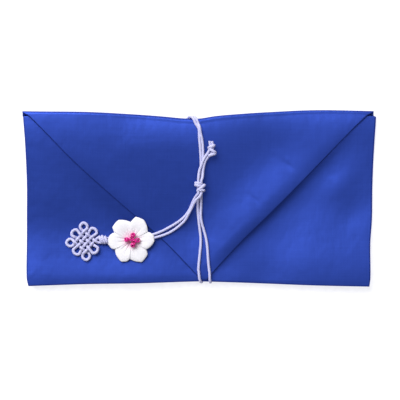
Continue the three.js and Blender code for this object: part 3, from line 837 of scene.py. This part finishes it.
def round_edge(crossing, start, edge, front, back, square):
    """Points round an edge of the envelope, from the front to the back."""
    clear = REST + CORD / 2
    reach = abs(edge - start) + clear
    outward = math.copysign(1, edge - start)
    points = []
    for i in range(EDGE_STEPS + 1):
        angle = math.pi * i / EDGE_STEPS
        out = abs(math.sin(angle)) ** square
        up = math.copysign(abs(math.cos(angle)) ** square, math.cos(angle))
        z = (front + back) / 2 + ((front - back) / 2 + clear) * up
        points.append((mix(*crossing, i / EDGE_STEPS), start + outward * reach * out, z))
    return points


def strand_points(strand):
    """A whole strand: cut end, knot, down the front, up the back, down to the knot and on to the flower."""
    foot, top = strand["foot"], strand["top"]
    foot_edge = float(bottom_edge(foot[0])) + FOOT_SINK
    foot_start = foot_edge + FOOT_SPAN
    front, back = float(cover_height(foot[0], foot_start)), float(back_height(foot[1], foot_start))
    under = round_edge(foot, foot_start, foot_edge, front, back, FOOT_SQUARE)
    start, depth, _, _ = (float(value) for value in flap_roll(top[1]))
    front, back = float(cover_height(top[0], start)), float(back_height(top[1], start))
    over = round_edge(top, start, start + depth + WALL / 2, front, back, TOP_SQUARE)
    behind = []
    for i in range(1, BACK_STEPS):
        x = mix(foot[1], top[1], i / BACK_STEPS)
        y = mix(foot_start, start, i / BACK_STEPS)
        behind.append((x, y, float(back_height(x, y)) - REST - CORD / 2))
    first = [*laid(strand["end"]), *laid(strand["down"]), *under, *behind]
    return [*first, *over[::-1], *laid(strand["up"]), *laid(strand["flower"])]


def make_strand(name, strand):
    line = smooth_line(strand_points(strand), CORD_STEP)
    points, faces, uvs = tube(line, CORD / 2)
    piece = make_piece(name, points, faces, BRAID, uvs)
    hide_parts(*strand["nodes"])
    return piece, line


cords = {name: make_strand(name, strand) for name, strand in STRANDS.items()}


# Small knots: turns of cord drawn tight round the bundle
TURN_POINTS = 24
KNOT_FLATNESS = 0.8
CONNECTOR_FLATNESS = 0.7
CENTRE_KNOT_RISE = 2.5
END_KNOT_RISE = 2.3
CONNECTOR_KNOT_RISE = 2.0
END_X, END_Y = 6.7, 26.6
UPRIGHT, SIDEWAYS = 0, 90
# Along the bundle, across it, radius of the turn and its tilt in degrees
CENTRE_TURNS = ((2.0, -0.7, 1.6, -8), (0.7, -0.6, 1.7, -14), (-0.5, 0.7, 1.8, 40), (-1.8, 0.7, 1.5, -6))
END_TURNS = ((1.9, 0.0, 1.4, 22), (-0.4, 0.5, 1.5, -34), (-2.6, 0.3, 1.5, 18))
CONNECTOR_TURNS = ((1.5, 0.0, 1.6, 24), (0.0, 0.1, 1.8, 24), (-1.5, 0.0, 1.5, 24))


def turns(centre, lean, table, flatness):
    """Closed turns of cord round a bundle that leans by an angle in plan, a little flat."""
    c, s = math.cos(math.radians(lean)), math.sin(math.radians(lean))
    tubes = []
    for along, shift, radius, tilt in table:
        slope = math.tan(math.radians(tilt))
        points = []
        for angle in np.linspace(0, 2 * np.pi, TURN_POINTS, endpoint=False):
            across = shift + radius * math.cos(angle)
            forward = along + (across - shift) * slope
            points.append((
                centre[0] + across * c - forward * s,
                centre[1] + across * s + forward * c,
                centre[2] + flatness * radius * math.sin(angle),
            ))
        tubes.append(tube(smooth_ring(points, CORD_STEP), KNOT_CORD / 2, closed=True))
    return tubes


def make_knot(name, node, tubes):
    points, faces, uvs = joined(tubes)
    piece = make_piece(name, points, faces, BRAID, uvs)
    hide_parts(node)
    return piece


def above_cloth(x, y, rise):
    return x, y, float(cover_height(x, y)) + GAP + rise


centre_middle = above_cloth(KNOT_X, KNOT_Y, CENTRE_KNOT_RISE)
end_middle = above_cloth(END_X, END_Y, END_KNOT_RISE)
connector_middle = above_cloth(CONNECTOR_X, CONNECTOR_Y, CONNECTOR_KNOT_RISE)
centre_knot = make_knot("centre_knot_turns", "centre_knot",
                        turns(centre_middle, UPRIGHT, CENTRE_TURNS, KNOT_FLATNESS))
end_knot = make_knot("end_knot_turns", "end_knot",
                     turns(end_middle, UPRIGHT, END_TURNS, KNOT_FLATNESS))
connector_knot = make_knot("connector_knot_turns", "connector_knot",
                           turns(connector_middle, SIDEWAYS, CONNECTOR_TURNS, CONNECTOR_FLATNESS))


# Ornament knot: four strands each way on a lattice, with an ear at each side and three corners
ORNAMENT_X, ORNAMENT_Y = -64.3, -24.5
ORNAMENT_TURN = math.radians(50)
ORNAMENT_CORD = 1.65
PITCH = 2.65
WEAVE = 0.95
INNER, OUTER = 0.5, 1.5
LATTICE = (-OUTER, -INNER, INNER, OUTER)
MID_EAR = ((2.35, 0.7), (3.0, 0.72), (3.35, 0), (3.0, -0.72), (2.35, -0.7))
CORNER_EAR = ((2.4, 1.45), (2.9, 1.9), (2.78, 2.78), (1.9, 2.9), (1.45, 2.4))
EXIT_OUT, EXIT_IN = (2.42, 1.7), (3.05, 2.45)
EAR_DROOP = -0.7


def ornament_point(a, b, over):
    """A place on the turned lattice, over (1) or under (-1) the crossing strand."""
    x = ORNAMENT_X + PITCH * (a * math.cos(ORNAMENT_TURN) + b * math.sin(ORNAMENT_TURN))
    y = ORNAMENT_Y + PITCH * (a * math.sin(ORNAMENT_TURN) - b * math.cos(ORNAMENT_TURN))
    return x, y, float(cover_height(x, y)) + REST + ORNAMENT_CORD / 2 + WEAVE * (1 + over)


def lattice_pass(b, direction):
    """One strand across the lattice, over and under in turn."""
    stops = LATTICE if direction > 0 else LATTICE[::-1]
    return [(a, b, 1 if (a + b) % 2 == 0 else -1) for a in stops]


def swapped(stops):
    """The same stops in the other direction of the lattice."""
    return [(b, a, -over) for a, b, over in stops]


def ear(shape, sign_a, sign_b):
    return [(sign_a * a, sign_b * b, EAR_DROOP) for a, b in shape]


LONG_LOOP = [
    *lattice_pass(INNER, 1), *ear(MID_EAR, 1, 1),
    *lattice_pass(-INNER, -1), *ear(MID_EAR, -1, -1),
]
OUTER_STRAND = [
    (*EXIT_IN, 0), (*EXIT_OUT, 0),
    *lattice_pass(OUTER, -1), *ear(CORNER_EAR, -1, 1),
    *swapped(lattice_pass(-OUTER, -1)), *ear(CORNER_EAR[::-1], -1, -1),
    *lattice_pass(-OUTER, 1), *ear(CORNER_EAR, 1, -1),
    *swapped(lattice_pass(OUTER, 1)), (*EXIT_OUT[::-1], 0), (*EXIT_IN[::-1], 0),
]


def ornament_tubes():
    tubes = []
    for loop in (LONG_LOOP, swapped(LONG_LOOP)):
        line = smooth_ring([ornament_point(*stop) for stop in loop], CORD_STEP)
        tubes.append(tube(line, ORNAMENT_CORD / 2, closed=True))
    line = smooth_line([ornament_point(*stop) for stop in OUTER_STRAND], CORD_STEP)
    tubes.append(tube(line, ORNAMENT_CORD / 2))
    return tubes


ornament = make_knot("ornament_knot_braid", "ornament_knot", ornament_tubes())


# Flower: six flat ribbon petals on a thin pad; at each border one petal lies over the next
FLOWER_RISE = 3.0
FLOWER_RUN = 11
FLOWER_LEAN = 0.7
PAD_LOW, PAD_HIGH, PAD_RADIUS, PAD_SIDES = 1.9, 2.35, 8.5, 48
PETAL_CLOTH = 0.4
PETAL_ROUND = 0.35
PETAL_STEP = 0.24
PETAL_UNDER = 7
PETAL_PUFF = 0.15
PETAL_INNER = 0.1
PETAL_ROW_LEAN = 1.5
PETAL_ANGLES, PETAL_DEPTH = 44, 36
TILT_INSIDE = 0.35
TILT_SPAN = (0.3, 0.85)
CREASE_FADE = 0.4
# Degrees and millimetres from the middle, round each petal's outer edge from notch to notch
PETAL_EDGES = (
    ((-31, 9.9), (-12, 12.0), (-2, 13.0), (16, 12.8), (27.5, 10.6)),
    ((27.5, 10.6), (32, 10.9), (58, 13.6), (79, 13.6), (91, 10.4)),
    ((91, 10.4), (102, 11.4), (122, 13.6), (145, 12.9), (154, 10.5)),
    ((154, 10.5), (166, 12.4), (185, 13.4), (203, 11.8), (209, 10.3)),
    ((209, 10.3), (221, 11.5), (245, 13.1), (258, 12.0), (266, 10.4)),
    ((266, 10.4), (287, 12.5), (296, 13.5), (320, 12.0), (329, 9.9)),
)
# Over (1) or under (-1) the neighbour at the first and the last border
PETAL_SIDES = ((1, -1), (1, 1), (-1, 1), (-1, 1), (-1, 1), (-1, -1))
PETAL_PROFILE = rows("depth height", (
    (0.1, -0.2),
    (0.3, 0.0),
    (0.6, 0.45),
    (0.8, 0.5),
    (0.93, 0.3),
    (1.0, 0.0),
))
# Pressed creases that run out from the middle: place across the petal, length, width and depth
PETAL_CREASES = ((0.34, 0.85, 0.06, 0.3), (0.66, 0.7, 0.06, 0.24))


def flower_floor(x, rise):
    """The leaning level on which the flower lies, lifted by the rise."""
    left, middle, right = (
        float(cover_height(FLOWER_X + side * FLOWER_RUN, FLOWER_Y)) for side in (-1, 0, 1)
    )
    slope = (right - left) / (2 * FLOWER_RUN)
    return middle + FLOWER_LEAN * slope * (x - FLOWER_X) + rise


def make_pad():
    turn = 2 * np.pi * np.arange(PAD_SIDES) / PAD_SIDES
    x, y = FLOWER_X + PAD_RADIUS * np.cos(turn), FLOWER_Y + PAD_RADIUS * np.sin(turn)
    rings = [np.stack([x, y, flower_floor(x, rise)], 1) for rise in (PAD_LOW, PAD_HIGH)]
    faces = grid_faces(PAD_SIDES, 2, closed=True)
    faces += [tuple(range(PAD_SIDES))[::-1], tuple(range(PAD_SIDES, 2 * PAD_SIDES))]
    piece = make_piece("flower_pad_felt", np.vstack(rings), faces, RIBBON)
    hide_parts("flower_pad")
    return piece


def make_petal(index, edge, sides):
    angles, radii = np.array(edge, float).T
    first = angles[0] - PETAL_UNDER * (sides[0] < 0)
    last = angles[-1] + PETAL_UNDER * (sides[1] < 0)
    depths = mix(1, PETAL_INNER, np.linspace(1, 0, PETAL_DEPTH + 1) ** PETAL_ROW_LEAN)
    share, depth = np.meshgrid(even_columns(PETAL_ANGLES), depths)
    angle = mix(first, last, share)
    reach = np.interp(angle, angles, radii)
    x = FLOWER_X + depth * reach * np.cos(np.radians(angle))
    y = FLOWER_Y + depth * reach * np.sin(np.radians(angle))
    tilt = PETAL_STEP * mix(*sides, share) * mix(TILT_INSIDE, 1, ease(depth, *TILT_SPAN))
    puff = PETAL_PUFF * np.sin(np.pi * share) * depth
    crease = sum(
        deep * np.exp(-((share - place) / width) ** 2) * (1 - ease(depth, CREASE_FADE * length, length))
        for place, length, width, deep in PETAL_CREASES
    )
    level = flower_floor(x, FLOWER_RISE) + read(PETAL_PROFILE, "depth", depth, "height")
    level = level + tilt + puff - crease
    across = depth * reach * np.radians(last - first) * np.minimum(share, 1 - share)
    border = np.minimum((1 - depth) * reach, across)
    half = PETAL_CLOTH / 2 * np.sqrt(1 - (1 - np.clip(border / PETAL_ROUND, 0, 1)) ** 2)
    # The inner end keeps its thickness and is closed by a low wall
    half[0] = PETAL_CLOTH / 2
    points = np.concatenate([np.stack([x, y, level + half], -1), np.stack([x, y, level - half], -1)])
    count, columns = depth.shape
    size = count * columns
    faces = grid_faces(columns, count)
    faces += [tuple(size + i for i in face[::-1]) for face in faces]
    faces += [(i + 1, i, size + i, size + i + 1) for i in range(columns - 1)]
    piece = make_piece(f"petal_ribbon_{index}", points.reshape(-1, 3), faces, RIBBON)
    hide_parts(f"petal_{index}")
    return piece


pad = make_pad()
petal_shapes = zip(PETAL_EDGES, PETAL_SIDES, strict=True)
petals = [make_petal(i + 1, *shape) for i, shape in enumerate(petal_shapes)]


# Beads: small drilled rings of clear glass
BEAD_OUTER, BEAD_HOLE, BEAD_HALF = 1.45, 0.45, 1.0
BEAD_SIDES, BEAD_ROUND = 28, 16
BEAD_RISE = 0.5
BEADS = rows("x y tilt turn", (
    (1.2, 3.1, 40, 100),
    (0.2, 0.9, 30, 60),
    (-2.4, 0.5, 50, 170),
    (3.7, 0.2, 25, 10),
    (1.7, -0.6, 20, 250),
    (1.1, -2.4, 40, 270),
))


def make_bead(index, x, y, tilt, turn):
    tube_radius = (BEAD_OUTER - BEAD_HOLE) / 2
    ring, section = np.meshgrid(
        np.linspace(0, 2 * np.pi, BEAD_SIDES, endpoint=False),
        np.linspace(0, 2 * np.pi, BEAD_ROUND, endpoint=False), indexing="ij")
    radius = BEAD_HOLE + tube_radius + tube_radius * np.cos(section)
    points = np.stack([radius * np.cos(ring), radius * np.sin(ring), BEAD_HALF * np.sin(section)], -1)
    c, s = math.cos(math.radians(tilt)), math.sin(math.radians(tilt))
    points = points @ np.array(((c, 0, -s), (0, 1, 0), (s, 0, c)))
    c, s = math.cos(math.radians(turn)), math.sin(math.radians(turn))
    points = points @ np.array(((c, s, 0), (-s, c, 0), (0, 0, 1)))
    floor = flower_floor(FLOWER_X + x, FLOWER_RISE) + BEAD_RISE
    points = points.reshape(-1, 3) + (FLOWER_X + x, FLOWER_Y + y, floor - points[..., 2].min())
    faces = []
    for i in range(BEAD_SIDES):
        for j in range(BEAD_ROUND):
            n, m = (i + 1) % BEAD_SIDES, (j + 1) % BEAD_ROUND
            faces.append((i * BEAD_ROUND + j, n * BEAD_ROUND + j, n * BEAD_ROUND + m, i * BEAD_ROUND + m))
    piece = make_piece(f"glass_bead_{index}", points, faces, GLASS)
    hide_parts(f"bead_{index}")
    return piece


beads = [make_bead(i + 1, *place) for i, place in enumerate(zip(*BEADS.values(), strict=True))]


# Stage, in metres: white floor, soft light from the upper left, a weak one from the right, camera above
FLOOR_HALF = 1.5
CAMERA_X, CAMERA_Y = 0.00028, -0.00128
VIEW_ACROSS = 0.2268
LENS, SENSOR = 100, 36


def make_floor():
    corners = [(x * FLOOR_HALF, y * FLOOR_HALF, 0) for x, y in ((-1, -1), (1, -1), (1, 1), (-1, 1))]
    mesh = bpy.data.meshes.new("floor")
    mesh.from_pydata(corners, [], [(0, 1, 2, 3)])
    material, shader = new_material("white_paper")
    grain = streaks(material, scale=(300, 300, 300), detail=2.0)
    colour = ramp(material, grain, ((0.3, (0.30, 0.30, 0.31)), (0.7, (0.32, 0.32, 0.33))))
    link(material, colour, shader.inputs["Base Color"])
    link(material, colour, shader.inputs["Emission Color"])
    shader.inputs["Emission Strength"].default_value = 2.5
    shader.inputs["Roughness"].default_value = 0.9
    mesh.materials.append(material)
    floor = bpy.data.objects.new("floor", mesh)
    bpy.context.scene.collection.objects.link(floor)


def make_light(name, place, target, size, power):
    light = bpy.data.lights.new(name, "AREA")
    light.shape = "DISK"
    light.size = size
    light.energy = power
    lamp = bpy.data.objects.new(name, light)
    lamp.location = place
    direction = np.array(target) - np.array(place)
    yaw = math.atan2(direction[1], direction[0])
    pitch = math.acos(-direction[2] / np.linalg.norm(direction))
    lamp.rotation_euler = (pitch, 0, yaw - math.pi / 2)
    bpy.context.scene.collection.objects.link(lamp)


def make_camera():
    camera = bpy.data.cameras.new("camera")
    camera.lens = LENS
    camera.sensor_width = SENSOR
    eye = bpy.data.objects.new("camera", camera)
    eye.location = (CAMERA_X, CAMERA_Y, VIEW_ACROSS * LENS / SENSOR)
    bpy.context.scene.collection.objects.link(eye)
    bpy.context.scene.camera = eye


def make_world():
    world = bpy.data.worlds.new("studio")
    world.use_nodes = True
    background = world.node_tree.nodes["Background"]
    background.inputs["Color"].default_value = (1.0, 1.0, 1.0, 1.0)
    background.inputs["Strength"].default_value = 0.3
    bpy.context.scene.world = world
    bpy.context.scene.view_settings.view_transform = "Standard"


make_floor()
make_light("key", place=(-1.8, 2.7, 3.1), target=(0, 0, 0), size=4.2, power=332)
make_light("fill", place=(0.18, 0.04, 0.45), target=(0.07, 0, 0), size=0.25, power=0.18)
make_world()
make_camera()
